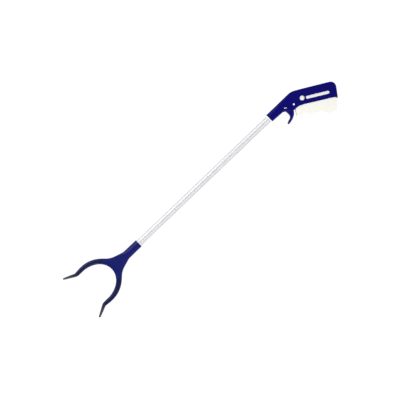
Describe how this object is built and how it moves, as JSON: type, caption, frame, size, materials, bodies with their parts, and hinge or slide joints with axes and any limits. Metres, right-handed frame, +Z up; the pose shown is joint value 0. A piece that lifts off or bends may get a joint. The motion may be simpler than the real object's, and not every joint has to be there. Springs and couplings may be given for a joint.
{
  "type": "pick-up reacher",
  "caption": "Pick-up reacher with a pistol handle, a finger trigger, a long fluted tube and curved jaws that close when the trigger is squeezed.",
  "frame": {"origin": "bottom centre of the reacher's box as it lies on its side", "axes": "+X along the tube from the jaws to the handle, +Y towards the palm side of the grip, +Z up through the side of the handle"},
  "size_m": [0.7626, 0.1562, 0.026],
  "materials": {
    "handle_plastic": "dark blue, satin",
    "jaw_plastic": "dark blue, satin",
    "tip_rubber": "dark grey, matt",
    "white_plastic": "warm white, satin",
    "aluminium": "satin anodised, fluted",
    "steel": "bright"
  },
  "bodies": {
    "frame": {"handle_shell_upper": "handle_plastic", "handle_shell_lower": "handle_plastic", "shell_screws": "steel", "trigger_pivot_pin": "white_plastic", "return_spring": "steel", "spring_washer": "steel", "tube_collar": "white_plastic", "tube": "aluminium", "sleeve_lock_pin": "steel", "socket_lock_pin": "steel", "rod_guides": "white_plastic", "jaw_end_bush": "white_plastic", "jaw_housing_upper": "jaw_plastic", "jaw_housing_lower": "jaw_plastic", "housing_screws": "steel", "jaw_pivot_pins": "steel"},
    "trigger": {"trigger": "white_plastic", "crank_pin": "steel"},
    "push_rod": {"push_rod": "steel", "rod_end_clevis": "white_plastic", "clevis_roll_pin": "steel", "crosshead": "steel", "crosshead_roll_pin": "steel"},
    "jaw_left": {"jaw_arm_left": "jaw_plastic", "jaw_tip_left": "tip_rubber", "jaw_crank_pin_left": "steel"},
    "jaw_right": {"jaw_arm_right": "jaw_plastic", "jaw_tip_right": "tip_rubber", "jaw_crank_pin_right": "steel"}
  },
  "joints": [
    {"name": "trigger_pivot", "type": "hinge", "parent": "frame", "child": "trigger", "pos_m": [0.28106, 0.00033, 0.013], "axis": [0, 0, 1], "range_deg": [0, 14], "stiffness_Nm_per_rad": 1.2, "springref_deg": -8.59},
    {"name": "rod_slide", "type": "slide", "parent": "frame", "child": "push_rod", "axis": [-1, 0, 0], "range_m": [0, 0.00385], "deforming": ["return_spring"]},
    {"name": "jaw_left_pivot", "type": "hinge", "parent": "frame", "child": "jaw_left", "pos_m": [-0.27804, 0.02813, 0.013], "axis": [0, 0, 1], "range_deg": [0, 30]},
    {"name": "jaw_right_pivot", "type": "hinge", "parent": "frame", "child": "jaw_right", "pos_m": [-0.27804, 0.00413, 0.013], "axis": [0, 0, -1], "range_deg": [0, 30]}
  ],
  "couplings": [
    {"joint": "rod_slide", "follows": "trigger_pivot", "m_per_rad": 0.015761},
    {"joint": "jaw_left_pivot", "follows": "trigger_pivot", "ratio": 2.1429},
    {"joint": "jaw_right_pivot", "follows": "trigger_pivot", "ratio": 2.1429}
  ]
}
